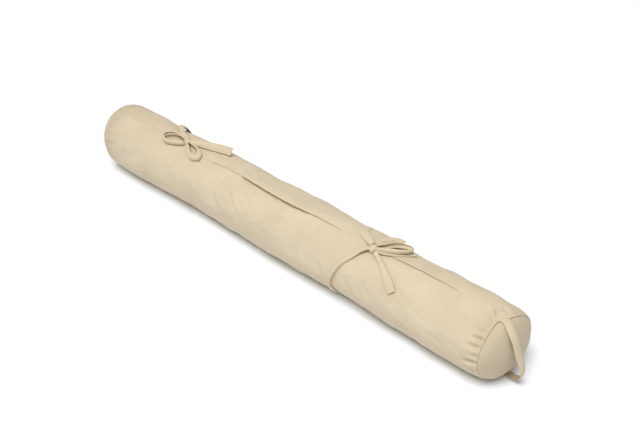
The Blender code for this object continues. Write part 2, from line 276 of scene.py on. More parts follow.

# %% [markdown]
# ## The two cottons
#
# The cover and the ties are the same matt, undyed cotton, the ties a shade deeper because they are
# folded over. Matt cloth scatters nearly all the light, so roughness is high, the gloss is weak, and a
# little sheen stands for the loose fibres. The weave and the stitching meet in one Bump node. The cover
# is darkened toward its ends, and the end panels get a darker copy of the same canvas: both are painted
# shade, for the shade that these end surfaces lie in. The cover is tinted a little deeper toward its
# ends, and so are the end panels, because that is how they look; whether the cloth or the light makes
# it so isn't known.


# %% Cotton materials
def cotton(name, dark, light, threads, depth, lines, painted_end_shade=()):
    """Woven cotton between two tints. Lines are (across axis, place) of its stitching, in metres.
    Painted end shade is (from, to, part) along the cloth: past them its colour keeps only that part."""
    material = bpy.data.materials.new(name)
    material.use_nodes = True
    tree = material.node_tree
    shader = tree.nodes["Principled BSDF"]
    shader.inputs["Roughness"].default_value = 0.92
    shader.inputs["Specular IOR Level"].default_value = 0.18
    shader.inputs["Sheen Weight"].default_value = 0.10
    shader.inputs["Sheen Roughness"].default_value = 0.6
    cloth = tree.nodes.new("ShaderNodeUVMap")
    cloth.uv_map = "cloth"
    group = tree.nodes.new("ShaderNodeGroup")
    group.node_tree = weave
    group.inputs["Threads per metre"].default_value = threads
    tree.links.new(cloth.outputs["UV"], group.inputs["Cloth"])
    ramp = tree.nodes.new("ShaderNodeValToRGB")
    ramp.color_ramp.elements[0].position = 0.38
    ramp.color_ramp.elements[0].color = (*dark, 1.0)
    ramp.color_ramp.elements[1].position = 0.62
    ramp.color_ramp.elements[1].color = (*light, 1.0)
    tree.links.new(group.outputs["Tone"], ramp.inputs["Fac"])
    height, thread_mask = group.outputs["Height"], None
    split = tree.nodes.new("ShaderNodeSeparateXYZ")
    tree.links.new(cloth.outputs["UV"], split.inputs[0])
    for axis, place in lines:
        line = tree.nodes.new("ShaderNodeGroup")
        line.node_tree = stitch
        tree.links.new(split.outputs[axis], line.inputs["Across"])
        tree.links.new(split.outputs["Y" if axis == "X" else "X"], line.inputs["Along"])
        line.inputs["Place"].default_value = place
        height = link_math(tree, "SUBTRACT", height, link_math(tree, "MULTIPLY", line.outputs["Dent"], 2.2))
        height = link_math(tree, "ADD", height, link_math(tree, "MULTIPLY", line.outputs["Thread"], 2.0))
        thread_mask = line.outputs["Thread"] if thread_mask is None else link_math(
            tree, "MAXIMUM", thread_mask, line.outputs["Thread"])
    colour = ramp.outputs["Color"]
    if thread_mask is not None:
        tint = tree.nodes.new("ShaderNodeMix")
        tint.data_type = "RGBA"
        tree.links.new(link_math(tree, "MULTIPLY", thread_mask, 0.25), tint.inputs["Factor"])
        tree.links.new(colour, tint.inputs[6])
        tint.inputs[7].default_value = (0.66, 0.56, 0.40, 1.0)
        colour = tint.outputs[2]
    # painted shade: past each given place along the cloth the colour is darkened
    for start, end, part in painted_end_shade:
        fade = tree.nodes.new("ShaderNodeMapRange")
        fade.interpolation_type = "SMOOTHSTEP"
        tree.links.new(split.outputs["X"], fade.inputs["Value"])
        for label, value in (("From Min", start), ("From Max", end), ("To Min", 1.0), ("To Max", part)):
            fade.inputs[label].default_value = value
        shade = tree.nodes.new("ShaderNodeVectorMath")
        shade.operation = "SCALE"
        tree.links.new(colour, shade.inputs[0])
        tree.links.new(fade.outputs[0], shade.inputs["Scale"])
        colour = shade.outputs[0]
    tree.links.new(colour, shader.inputs["Base Color"])
    relief = tree.nodes.new("ShaderNodeBump")
    relief.inputs["Strength"].default_value = 0.55
    relief.inputs["Distance"].default_value = depth
    tree.links.new(height, relief.inputs["Height"])
    tree.links.new(relief.outputs["Normal"], shader.inputs["Normal"])
    return material


FLAT_AROUND = 2 * math.pi * RADIUS
# the cover's colour is darkened toward both ends, as painted shade
canvas = cotton(
    "beige_canvas", (0.565, 0.469, 0.327), (0.628, 0.526, 0.373), 1150.0, 0.00014,
    [("Y", FLAT_AROUND - 0.0032)], [(0.100, 0.030, 0.80), (0.850, 0.915, 0.90)],
)
# the end panels: a darker copy of the canvas, painted shade for the shade they lie in
panel_canvas_painted_shade = cotton("panel_canvas_painted_shade", (0.508, 0.420, 0.288), (0.560, 0.465, 0.324), 1150.0, 0.00010, [])
tie_cloth = cotton(
    "tie_cotton", (0.568, 0.474, 0.328), (0.634, 0.532, 0.373), 1350.0, 0.00012,
    [("X", 0.0018), ("Y", 0.0065)],
)
print("materials", canvas.name, panel_canvas_painted_shade.name, tie_cloth.name)


# %% Finishing a piece
def finish_piece(piece, material, slot_name, *nodes):
    """Give a piece its cloth, hang it on the root and hide the construction parts it stands for."""
    piece.data.materials.clear()
    piece.data.materials.append(material)
    piece.data.shade_smooth()
    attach(piece, "root")
    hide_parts(*nodes)


def select_only(piece):
    bpy.ops.object.select_all(action="DESELECT")
    piece.select_set(True)
    bpy.context.view_layer.objects.active = piece


# %% [markdown]
# ## The shape of the ends
#
# Each end is a soft dome. The seam between cover and round panel doesn't run straight round it: the
# filling and the carrying strap pull it along the tube on the viewer's side and at the corner where
# the strap is sewn in. So the dome is one profile, and the seam is a line drawn over it.

# %% Tables of the ends
EndRow = namedtuple("EndRow", "back share")
DOME = table(
    EndRow,  # mm in from the crown, and part of the tube's radius
    (0, 0), (0.6, 0.16), (1.8, 0.34), (4.2, 0.54), (7.6, 0.70), (12, 0.815), (18, 0.888),
    (26, 0.936), (36, 0.972), (48, 0.993), (62, 1),
)
SeamRow = namedtuple("SeamRow", "around back")
RIGHT_SEAM = table(
    SeamRow,  # degrees round, and mm in from the crown
    (-180, 17), (-130, 13), (-75, 12), (-45, 15), (-17, 17.5), (-3, 20), (5, 22.5), (11, 25.5),
    (19, 29), (32, 28), (60, 27), (90, 26), (120, 23.5), (150, 20), (180, 17),
)
LEFT_SEAM = table(
    SeamRow,
    (-180, 17), (-90, 16), (-20, 20), (20, 25), (48, 29), (80, 26), (130, 20), (180, 17),
)
dome_run = [EndRow(back, share) for back, share in catmull([tuple(row) for row in DOME], 10)]


# %% A point of an end
def tree_of(obj):
    """A search tree of an object's faces, for casting rays at it."""
    bm = bmesh.new()
    bm.from_mesh(obj.data)
    tree = BVHTree.FromBMesh(bm)
    bm.free()
    return tree


cad_cover = tree_of(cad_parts["cover"])


def outward(around):
    angle = math.radians(around)
    return Vector((0.0, -math.sin(angle), math.cos(angle)))


def reach(x, around):
    """How far the tube's cloth is from its axis, read off the construction model by a ray."""
    limit = LENGTH / 2 - END_ZONE
    start = AXIS + Vector((max(-limit, min(limit, x)), 0.0, 0.0))
    hit = cad_cover.ray_cast(start, outward(around))
    return hit[3] if hit[0] is not None else RADIUS


def groove(x):
    """Room between the tube and the floor for the tie that passes below it."""
    return TIE_GROOVE * bump(x - TIE_X, 30 * MM)


def seam_back(side, around):
    rows = RIGHT_SEAM if side > 0 else LEFT_SEAM
    return MM * between(rows, "back", wrap_degrees(around), "around")


def near_side(around):
    """How far a place round the tube is on the viewer's side, where the seam is drawn shallow."""
    return bump(wrap_degrees(around - 85.0), 75.0)


def dome_point(side, back, around, inset=0.0):
    """A point of an end, so far in from its crown and so far below its surface."""
    def on_dome(at):
        share = between(dome_run, "share", max(at, 0.0) / MM, "back", eased=False)
        radius = reach(side * LENGTH / 2, around) * share
        if side < 0:
            radius *= 1.0 - 0.03 * bump(wrap_degrees(around + 10.0), 90.0) * bump(at, 60 * MM)
            radius *= 1.0 - 0.09 * bump(wrap_degrees(around - 115.0), 60.0) * bump(at, 60 * MM)
        point = AXIS + Vector((side * (LENGTH / 2 - at), 0.0, 0.0)) + outward(around) * radius
        skew = 0.03 if side > 0 and point.y > 0 else END_SKEW
        point.x += side * skew * point.y * bump(at, END_ZONE)
        return point

    point = on_dome(back)
    if inset:
        along = on_dome(back + 0.4 * MM) - on_dome(back - 0.4 * MM if back > 0.4 * MM else 0.0)
        normal = along.cross(outward(around + 90.0)) * side
        point -= normal.normalized() * inset
    point.z = max(point.z, 0.0)
    return point


print("seam at the viewer's side, right end:", round(seam_back(1, 90) / MM, 1), "mm in from the crown")

# %% [markdown]
# ## The cover: cut, rolled and gathered
#
# The maker cuts one long rectangle. Here it is a grid laid out at its flat size, so that its texture
# coordinates are the cloth's own metres. It is rolled round the tube, its two long edges meet along the
# line of the lap, and its ends run into the seams. The tube's uneven swell, its flat underside and the
# waist under the right tie come from the construction model, so the cloth fits it without guessing.

# %% Table of the lap
COLUMNS = 96
RING_SPACING = 5.2 * MM

Lap = namedtuple("Lap", "x around over rise")
LAP_LINE = table(
    Lap,  # mm along, degrees round; mm the edge reaches over, and stands up
    (-450, 16, 0, 0), (-290, 16, 0, 0), (-205, 18.5, 0, 0), (-178, 15.5, 0.8, 0.5),
    (-156, 12.5, 1.2, 0.8), (-120, 11, 1.4, 0.9), (-95, 10, 1.6, 1), (-84, 10, 3.8, 4.4),
    (-50, 12, 4.6, 5.4), (-15, 13, 4.6, 5.6), (20, 13, 4.6, 5.6), (54, 12, 4.2, 4.6),
    (68, 11, 2.6, 2.2), (84, 9.5, 2.4, 2.2), (116, 8.5, 1.5, 1.1), (134, 9, 0, 0), (206, 8, 0, 0),
    (218, 6.5, 1.6, 1.5), (240, 5, 2, 2.1), (293, 3.8, 1.9, 1.9), (328, 4, 1.4, 1.2),
    (358, 6.5, 0, 0), (410, 15, 0, 0), (450, 20, 0, 0),
)
LAP_OPENINGS = ((-0.205, 0.134), (0.206, 0.358))
LIFT_REACH = 26 * MM
PRESS_REACH = 10 * MM

# %% [markdown]
# The rings close up toward the seam, where the cloth turns down into it. Past the seam ring the cloth
# dives in for its seam allowance, and a cap closes the skin behind the round panel. The caps are no
# part of a real cut cloth, but the length laid out below includes them.

# %% Rings of the cover
Ring = namedtuple("Ring", "side along inset cap")


def end_rings():
    """Rings of one end: share of the way from the full tube to the seam, inset and cap."""
    rings = [Ring(1, share / 11, 0.0, 0.0) for share in range(0, 10)]
    rings += [
        Ring(1, 0.95, 0.0, 0.0), Ring(1, 0.985, 0.05 * MM, 0.0), Ring(1, 1.0, 0.4 * MM, 0.0),
        Ring(1, 1.0, 4.0 * MM, 0.0), Ring(1, 1.0, 4.0 * MM, 0.45), Ring(1, 1.0, 4.0 * MM, 0.92),
    ]
    return rings


def cover_rings():
    inner = LENGTH / 2 - END_ZONE
    count = round(2 * inner / RING_SPACING)
    left = [ring._replace(side=-1) for ring in reversed(end_rings())]
    body = [Ring(0, inner * (2 * i / count - 1), 0.0, 0.0) for i in range(1, count)]
    return left + body + end_rings()


def ring_point(ring, around):
    """A point of the rolled cloth before it is filled."""
    if ring.side == 0:
        point = AXIS + Vector((ring.along, 0.0, 0.0)) + outward(around) * reach(ring.along, around)
        point.z = max(point.z, groove(ring.along))
        return point
    back = END_ZONE + (seam_back(ring.side, around) - END_ZONE) * ring.along
    inset = ring.inset
    if 0.0 < inset < 1.0 * MM:
        inset *= 1.0 - 0.9 * near_side(around)
    point = dome_point(ring.side, back, around, inset)
    middle = Vector((AXIS.x + ring.side * (LENGTH / 2 - 22 * MM), AXIS.y, AXIS.z))
    return point.lerp(middle, ring.cap)


def ring_x(ring):
    """The nominal place of a ring along the tube, for reading the lap's table."""
    if ring.side == 0:
        return ring.along
    return ring.side * (LENGTH / 2 - END_ZONE + ring.along * (END_ZONE - 20 * MM))


rings = cover_rings()
print("cover of", len(rings), "rings by", COLUMNS, "columns")


# %% Lay out the cut cloth and roll it
def flat_lengths():
    """Distance along the cloth to each ring, measured on the viewer's side."""
    run = [0.0]
    points = [ring_point(ring, 60.0) for ring in rings]
    for a, b in zip(points, points[1:]):
        run.append(run[-1] + (b - a).length)
    return run


def lay_cloth():
    """A grid cut to the cloth's flat size, whose texture coordinates are metres."""
    run = flat_lengths()
    bpy.ops.mesh.primitive_grid_add(x_subdivisions=len(rings) - 1, y_subdivisions=COLUMNS, size=1.0)
    cloth = bpy.context.object
    cloth.name = cloth.data.name = "cover_cloth"
    layer = cloth.data.uv_layers[0]
    layer.name = "cloth"
    for loop in cloth.data.loops:
        flat = cloth.data.vertices[loop.vertex_index].co
        ring = round((flat.x + 0.5) * (len(rings) - 1))
        layer.data[loop.index].uv = (run[ring], (flat.y + 0.5) * FLAT_AROUND)
    return cloth, run[-1]


def roll(cloth):
    """Roll the flat cloth round the tube and sew its long edges together."""
    last = len(rings) - 1
    on_edge, held_points = [], []
    for vertex in cloth.data.vertices:
        ring = rings[round((vertex.co.x + 0.5) * last)]
        column = round((vertex.co.y + 0.5) * COLUMNS)
        on_edge.append(1.0 if column % COLUMNS == 0 else 0.0)
        if (ring.side and ring.along > 0.98) or column % COLUMNS == 0:
            held_points.append(vertex.index)
        x = ring_x(ring)
        around = between(LAP_LINE, "around", x / MM) + 360.0 * column / COLUMNS
        vertex.co = ring_point(ring, around)
    cloth.vertex_groups.new(name="held").add(held_points, 1.0, "REPLACE")
    cloth.data.attributes.new("sewn", "FLOAT", "POINT").data.foreach_set("value", on_edge)
    bm = bmesh.new()
    bm.from_mesh(cloth.data)
    bmesh.ops.remove_doubles(bm, verts=bm.verts, dist=0.00001)
    bmesh.ops.holes_fill(bm, edges=[edge for edge in bm.edges if edge.is_boundary])
    bmesh.ops.recalc_face_normals(bm, faces=bm.faces)
    body = [vertex for vertex in bm.verts
            if abs(vertex.co.x - AXIS.x) < LENGTH / 2 - 0.6 * END_ZONE and vertex.co.z > 1.0 * MM]
    for _ in range(5):
        bmesh.ops.smooth_vert(bm, verts=body, factor=0.5, use_axis_x=False, use_axis_y=True, use_axis_z=True)
    bm.to_mesh(cloth.data)
    bm.free()


cover_cloth, flat_length = lay_cloth()
roll(cover_cloth)
print("flat cloth", round(flat_length, 3), "by", round(FLAT_AROUND, 3), "m,", len(cover_cloth.data.vertices), "points")

# %% [markdown]
# ## Filling the cover
#
# A stuffed cover is cloth under pressure. Blender's cloth solver is the natural tool: the skin starts a
# little small, the pressure pushes it out, and where the cloth is held, at the end seams and along the
# lap, it puckers by itself. The springs are told that the cloth was cut larger at the ends than the
# seams leave room for, which is what makes gathers. How far a point may move is capped, so the tube
# keeps its size, and the underside is pressed flat again by the floor.

# %% Fill it with the cloth solver
MOVE_CAP = 4.5 * MM
FRAMES = 22


def end_distance(x):
    """How far in from the nearer crown a place along the tube is."""
    return LENGTH / 2 - abs(x)


def fill(cloth):
    before = [vertex.co.copy() for vertex in cloth.data.vertices]
    random.seed(11)
    for vertex, home in zip(cloth.data.vertices, before):
        local = home - AXIS
        scale = 1.0 - (1.2 + random.uniform(-0.25, 0.25)) * MM / RADIUS
        if end_distance(local.x) < 34 * MM:
            scale = 1.0
        vertex.co = AXIS + Vector((local.x, local.y * scale, local.z * scale))
    cloth.shape_key_add(name="filled", from_mix=False)
    cut = cloth.shape_key_add(name="cut", from_mix=False)
    for vertex, key in zip(cloth.data.vertices, cut.data):
        local = vertex.co - AXIS
        slack = 1.012 + 0.10 * bump(end_distance(local.x) - 26 * MM, 46 * MM)
        key.co = AXIS + Vector((local.x * 1.006, local.y * slack, local.z * slack))
    solver = cloth.modifiers.new("Filling", "CLOTH")
    settings = solver.settings
    settings.quality = 6
    settings.mass = 0.25
    settings.tension_stiffness = 30.0
    settings.compression_stiffness = 30.0
    settings.shear_stiffness = 8.0
    settings.bending_stiffness = 0.08
    settings.use_pressure = True
    settings.uniform_pressure_force = 4.0
    settings.effector_weights.gravity = 0.0
    settings.vertex_group_mass = "held"
    settings.rest_shape_key = cut
    solver.collision_settings.use_collision = False
    solver.collision_settings.use_self_collision = False
    solver.point_cache.frame_start = 1
    solver.point_cache.frame_end = FRAMES
    for number in range(1, FRAMES + 1):
        bpy.context.scene.frame_set(number)
    graph = bpy.context.evaluated_depsgraph_get()
    moved = [vertex.co.copy() for vertex in cloth.evaluated_get(graph).data.vertices]
    cloth.modifiers.remove(solver)
    cloth.shape_key_clear()
    bpy.context.scene.frame_set(1)
    furthest = 0.0
    for vertex, home, now in zip(cloth.data.vertices, before, moved):
        step = now - home
        furthest = max(furthest, step.length)
        if step.length > MOVE_CAP:
            step = step * (MOVE_CAP / step.length)
        vertex.co = home + step
        vertex.co.z = max(vertex.co.z, groove(vertex.co.x - AXIS.x))
    print("filled: the furthest point wanted to move", round(furthest / MM, 1), "mm")


fill(cover_cloth)

# %% One subdivision
def apply_modifier(piece, kind, name, **values):
    """Add a modifier, set it and apply it."""
    modifier = piece.modifiers.new(name, kind)
    for label, value in values.items():
        setattr(modifier, label, value)
    select_only(piece)
    bpy.ops.object.modifier_apply(modifier=name)


apply_modifier(cover_cloth, "SUBSURF", "Softness", levels=1, render_levels=1)
print("cover now", len(cover_cloth.data.polygons), "faces")

# %% [markdown]
# ## Creases and gathers
#
# What the solver can't know is where this very tube was creased in the hand. Those creases are placed
# one by one: each is a soft trough or ridge with a place, a heading along the cloth, a length and a
# depth. Heading 0 runs along the tube and 90 runs round it. Pleats fan out from the end seams, and a
# crumple of soft hollows with sharper ridges between them covers the rest.

# %% Table of creases
Crease = namedtuple("Crease", "x around heading length width depth")
CREASES = table(
    Crease,  # mm along, degrees round, degrees, mm, mm, mm out (+) or in (-)
    (406, 14, 40, 34, 2.2, -2.6), (411, 6, 62, 28, 2.2, -2.2), (405, 9, 52, 26, 2.6, 1.8),
    (417, 19, 30, 14, 3, 1.8), (412, 26, -16, 26, 2.4, -1.8), (404, 33, 10, 30, 3.4, 0.9),
    (409, 41, -6, 32, 3, -1.3), (411, 47, -6, 34, 2.6, 1.2), (410, 52, -8, 34, 2.6, -1.6),
    (411, 58, -10, 34, 2.8, 1.2), (409, 65, -8, 38, 2.8, -1.6), (410, 72, -8, 34, 3, 1),
    (411, 80, -10, 34, 3, -1.2), (408, 92, -20, 40, 2.6, -2.6), (406, 98, -18, 36, 3, 1.6),
    (410, 108, -8, 34, 3.6, -1.2), (415, -8, 30, 26, 3, -1), (424, -22, 10, 26, 3, -1),
    (-250, 30, -30, 40, 2.6, -1), (-262, 38, -18, 44, 3, -0.9), (-246, 24, -35, 30, 2.4, 0.8),
    (-215, 34, 22, 44, 3.6, -0.9), (-186, 25, 26, 34, 2.4, -1.1), (-168, 24, 18, 30, 2.2, -0.9),
    (-160, 12, -68, 26, 2.2, -1), (-84, 56, 38, 76, 4, -1.1), (-70, 60, 42, 66, 3.4, 1),
    (-49, 46, 30, 60, 3.4, -1), (-120, 72, 55, 80, 6, -1.1), (-20, 66, -30, 60, 5, 0.9),
    (22, 46, -50, 60, 5, -1), (70, 78, 82, 70, 4, -1.2), (84, 44, -45, 52, 3.4, 1.1),
    (93, 28, -76, 44, 3, -1.2), (108, 64, 85, 60, 4, -1), (122, 60, 82, 64, 4, 1),
    (118, 84, 62, 60, 4, -1), (180, 92, 62, 60, 4, -1.1), (197, 90, 58, 76, 4.6, 1),
    (214, 76, 44, 70, 4.6, -0.9), (262, 84, 24, 84, 7, 0.8), (300, 64, 20, 84, 6, -0.8),
    (345, 88, 12, 80, 5, -1), (352, 40, 30, 60, 5, -0.6), (-330, 72, -38, 80, 6, -1.1),
    (-352, 62, -42, 70, 5, 0.9), (-372, 50, -60, 60, 5, -0.8), (-300, 92, -50, 70, 5, 0.9),
    (-398, 78, -20, 56, 4, -1.2), (-404, 62, -10, 48, 3.4, -1.3), (-410, 46, -6, 34, 2.8, -1.8),
    (-408, 30, 0, 34, 3, -1), (-408, 96, -10, 40, 3, -1), (172, 20, -55, 36, 3.4, -0.8),
    (228, 44, 70, 40, 4, -0.7), (172, 37, -55, 58, 4, -1.2), (153, 82, -71, 66, 4, -1.2),
)
Swell = namedtuple("Swell", "x around long wide depth")
SWELLS = table(
    Swell,  # mm, degrees; how far it fades along and round; mm out (+) or in (-)
    (160, -45, 80, 70, 4.8), (-305, -25, 60, 60, -4), (-110, 112, 130, 40, -2.6),
)


# %% Depth of the cloth's relief
def crease_depth(x, around):
    """How far the listed creases push the cloth in or out here."""
    total = 0.0
    for crease in CREASES:
        run = x - crease.x * MM
        if abs(run) > crease.length * MM:
            continue
        turn = math.radians(wrap_degrees(around - crease.around)) * RADIUS
        heading = math.radians(crease.heading)
        along = run * math.cos(heading) + turn * math.sin(heading)
        across = turn * math.cos(heading) - run * math.sin(heading)
        ends = bump(along, 0.5 * crease.length * MM)
        total += 1.8 * crease.depth * MM * ends * math.exp(-(across / (crease.width * MM)) ** 2)
    for swell in SWELLS:
        along = bump(x - swell.x * MM, swell.long * MM)
        total += swell.depth * MM * along * bump(wrap_degrees(around - swell.around), swell.wide)
    return total


def gather_depth(side, past_seam, around):
    """Small pleats that fan out from an end seam, uneven in depth and length."""
    uneven = 0.4 + 0.9 * abs(noise.noise(Vector((around / 26.0, side * 5.0, 0.0))))
    reach_in = 34 * MM + 26 * MM * noise.noise(Vector((around / 9.0, side * 3.0, 4.0)))
    if not 0.0 <= past_seam < reach_in:
        return 0.0
    wander = noise.noise(Vector((around / 10.0, past_seam * 40.0, side)))
    pleat = math.cos(math.radians(30.0 * around) + 2.6 * wander)
    fade = (1.0 - past_seam / reach_in) * min(1.0, past_seam / (5 * MM))
    return 0.9 * MM * uneven * fade * pleat


def crumple(x, around):
    """Soft hollows with sharper ridges between them, a few fingers wide."""
    angle = math.radians(around)
    ring = Vector((0.0, math.cos(angle), math.sin(angle)))
    slow = noise.noise(Vector((x * 9.0, 0.0, 0.0)) + 0.9 * ring)
    ridged = 0.0
    for scale, part in ((15.0, 1.0), (31.0, 0.55), (62.0, 0.22)):
        place = Vector((x * scale, 0.0, 3.1 * scale)) + ring * (scale * RADIUS * 1.5)
        ridged += part * (0.28 - abs(noise.noise(place)))
    return MM * (1.6 * slow + 2.7 * ridged)


# %% Press the creases into the cloth
FULLNESS = 1.0 * MM          # the filling makes good what the smoothing took away


def crease_cover(cloth):
    cloth.data.update()
    normals = [vertex.normal.copy() for vertex in cloth.data.vertices]
    sewn = cloth.data.attributes["sewn"].data
    for vertex, normal in zip(cloth.data.vertices, normals):
        local = vertex.co - AXIS
        x, around = local.x, math.degrees(math.atan2(-local.y, local.z))
        side = 1 if x > 0 else -1
        flat_x = x - side * END_SKEW * local.y * bump(end_distance(x), END_ZONE)
        past_seam = end_distance(flat_x) - seam_back(side, around)
        if past_seam < -0.2 * MM or math.hypot(local.y, local.z) < 0.7 * RADIUS:
            continue
        calm = 1.0 - 0.75 * bump(x - TIE_X, 18 * MM)
        calm *= min(1.0, past_seam / (9 * MM))
        push = crease_depth(x, around) * min(1.0, past_seam / (6 * MM))
        push += gather_depth(side, past_seam, around) + calm * (crumple(x, around) + FULLNESS)
        if local.z < -0.86 * AXIS.z:
            push *= 0.25
        vertex.co += normal * push
        vertex.co.z = max(vertex.co.z, groove(x))


crease_cover(cover_cloth)
print("placed", len(CREASES), "creases")

# %% [markdown]
# ## The lap
#
# The cloth's far edge is a hem that lies over its near edge, and between the ties it gapes a little.
# The sewn line is split there, the far cloth is lifted and drawn over, and a folded lip leads round
# its thickness and back underneath, so the skin stays closed and the gap is real and dark.


# %% Fold the hem over
Lip = namedtuple("Lip", "over rise")
LIP = (                      # the hem's section, as parts of its thickness from its upper edge
    Lip(0.36, -0.12),
    Lip(0.52, -0.45),
    Lip(0.40, -0.82),
    Lip(0.05, -1.00),
)


def lap_sizes(x):
    """Reach, rise, thickness and depth of the hem at a place along the tube, in metres."""
    over = MM * between(LAP_LINE, "over", x / MM)
    rise = MM * between(LAP_LINE, "rise", x / MM)
    thick = min(1.1 * MM, 0.6 * rise)
    return over, rise, thick, 2.0 * over


def open_lap(cloth, start, end):
    """Split the sewn line between two places and return its far and near rims, from -X to +X."""
    bm = bmesh.new()
    bm.from_mesh(cloth.data)
    layer = bm.verts.layers.float["sewn"]
    chain = {vertex for vertex in bm.verts if vertex[layer] > 0.99 and start < vertex.co.x - AXIS.x < end}
    cut = [edge for edge in bm.edges if edge.verts[0] in chain and edge.verts[1] in chain]
    bmesh.ops.split_edges(bm, edges=cut)
    rim = sorted({vertex for edge in bm.edges if edge.is_boundary for vertex in edge.verts},
                 key=lambda vertex: vertex.co.x)
    far, near = [rim[0]], [rim[0]]
    for vertex in rim[1:-1]:
        middle = sum((face.calc_center_median() for face in vertex.link_faces), Vector())
        (near if middle.y / len(vertex.link_faces) < vertex.co.y else far).append(vertex)
    return bm, far + [rim[-1]], near + [rim[-1]]


def lift_hem(bm, far, near):
    """Draw the far cloth up and over, and press the near cloth down a little, less and less away from it."""
    base = [vertex.co.copy() for vertex in far]
    frames = []
    edge_line = KDTree(len(base))
    for i, point in enumerate(base):
        run = heading_at(base, i)
        up = (point - Vector((point.x, AXIS.y, AXIS.z))).normalized()
        toward = run.cross(up).normalized()
        frames.append((toward if toward.y < 0 else -toward, up))
        edge_line.insert(point, i)
    edge_line.balance()
    below = set(near[1:-1])
    for vertex in bm.verts:
        point, i, away = edge_line.find(vertex.co)
        toward, up = frames[i]
        over, rise, _, _ = lap_sizes(point.x - AXIS.x)
        if vertex in below or (vertex.co - point).dot(toward) > 0.05 * MM:
            vertex.co -= up * 0.34 * rise * bump(away, PRESS_REACH)
        elif away < LIFT_REACH:
            hill = bump(away, LIFT_REACH)
            vertex.co += up * rise * hill + toward * over * hill
    return base, frames


def sew_lip(bm, far, near, base, frames):
    """Lead the skin round the hem's edge and back under it to the near cloth."""
    uv = bm.loops.layers.uv["cloth"]
    rows = [far]
    for part in LIP:
        row = []
        for vertex, point, (toward, up) in zip(far, base, frames):
            thick = lap_sizes(point.x - AXIS.x)[2]
            row.append(bm.verts.new(vertex.co + toward * part.over * thick + up * part.rise * thick))
        rows.append(row)
    row = []
    for point, (toward, up) in zip(base, frames):
        _, rise, _, depth = lap_sizes(point.x - AXIS.x)
        row.append(bm.verts.new(point - toward * depth * 0.6 - up * 0.50 * rise))
    rows += [row, near]
    for row in rows[1:-1]:
        row[0], row[-1] = far[0], far[-1]
    made = []
    for level, (upper, lower) in enumerate(zip(rows, rows[1:])):
        for i in range(len(far) - 1):
            corners = [upper[i], upper[i + 1], lower[i + 1], lower[i]]
            corners = [corner for k, corner in enumerate(corners) if corner not in corners[:k]]
            if len(corners) < 3:
                continue
            face = bm.faces.new(corners)
            face.smooth = True
            for loop in face.loops:
                drop = level + (1 if loop.vert in (lower[i], lower[i + 1]) else 0)
                loop[uv].uv = (loop.vert.co.x - AXIS.x + LENGTH / 2, 0.002 * drop)
            made.append(face)
    bmesh.ops.delete(bm, geom=[vertex for vertex in bm.verts if not vertex.link_faces], context="VERTS")
    bmesh.ops.recalc_face_normals(bm, faces=bm.faces)
    return made


for start, end in LAP_OPENINGS:
    bm, far, near = open_lap(cover_cloth, start, end)
    base, frames = lift_hem(bm, far, near)
    lip_faces = sew_lip(bm, far, near, base, frames)
    print("hem of", len(far), "and", len(near), "points,", len(lip_faces), "faces in its fold")
    bm.to_mesh(cover_cloth.data)
    bm.free()
finish_piece(cover_cloth, canvas, "canvas", "cover")

# %% [markdown]
# ## The round end panels
#
# Each panel is a disc of the same canvas, sewn in and domed by the filling. A circle is filled and
# inset into rings, then every ring is laid over the dome inside the seam. Its edge dives into the seam
# next to the cover's, which leaves the thin shaded line that a seam shows. The area handed over is that
# of the finished dome, and so is more than a flat disc of the size given with it.

# %% Panels
PANEL_COLUMNS = 96
PANEL_RINGS = (              # part of the way from the crown to the seam, and mm below the dome
    (1.0, 3.4), (0.992, 0.4), (0.965, 0.05), (0.90, 0.0), (0.80, 0.0), (0.68, 0.0), (0.55, 0.0),
    (0.42, 0.0), (0.30, 0.0), (0.19, 0.0), (0.10, 0.0), (0.04, 0.0),
)


def panel_relief(side, share, around):
    """Small pulls that run in from the seam, and a slack middle."""
    angle = math.radians(around)
    place = Vector((side * 4.0, share * 2.0 * math.cos(angle), share * 2.0 * math.sin(angle)))
    pulls = 0.5 * math.cos(math.radians(24.0 * around) + 3.0 * noise.noise(place * 2.0))
    return MM * (bump(share - 0.86, 0.30) * pulls * 0.7 + 1.0 * noise.noise(place * 1.3))


def make_panel(name, side, node):
    bpy.ops.mesh.primitive_circle_add(vertices=PANEL_COLUMNS, radius=1.0, fill_type="NGON")
    panel = bpy.context.object
    panel.name = panel.data.name = name
    bm = bmesh.new()
    bm.from_mesh(panel.data)
    for ring in PANEL_RINGS[1:]:
        disc = max(bm.faces, key=lambda face: len(face.verts))
        size = disc.verts[0].co.length
        bmesh.ops.inset_individual(bm, faces=[disc], thickness=(size - ring[0]) * math.cos(math.pi / PANEL_COLUMNS))
    uv = bm.loops.layers.uv.new("cloth")
    for face in bm.faces:
        for loop in face.loops:
            loop[uv].uv = (0.2 + 0.048 * loop.vert.co.x, 0.2 + 0.048 * loop.vert.co.y)
    shares = [ring[0] for ring in PANEL_RINGS]
    for vertex in bm.verts:
        size = vertex.co.length
        level = min(range(len(shares)), key=lambda i: abs(shares[i] - size))
        share, inset = PANEL_RINGS[level]
        around = math.degrees(math.atan2(-vertex.co.y, vertex.co.x))
        seam = seam_back(side, around) - (0.25 - 0.55 * near_side(around)) * MM
        if 0.98 < share < 1.0:
            inset *= 1.0 - 0.9 * near_side(around)
        back = seam * share ** 1.9
        vertex.co = dome_point(side, back, around, inset * MM - panel_relief(side, share, around) * (share < 0.97))
    bmesh.ops.recalc_face_normals(bm, faces=bm.faces)
    bm.to_mesh(panel.data)
    bm.free()
    if sum(polygon.normal.x * polygon.area for polygon in panel.data.polygons) * side < 0:
        panel.data.flip_normals()
    apply_modifier(panel, "SOLIDIFY", "Cloth thickness", thickness=0.9 * MM, offset=-1.0)
    apply_modifier(panel, "SUBSURF", "Softness", levels=1, render_levels=1)
    finish_piece(panel, panel_canvas_painted_shade, "canvas", node)


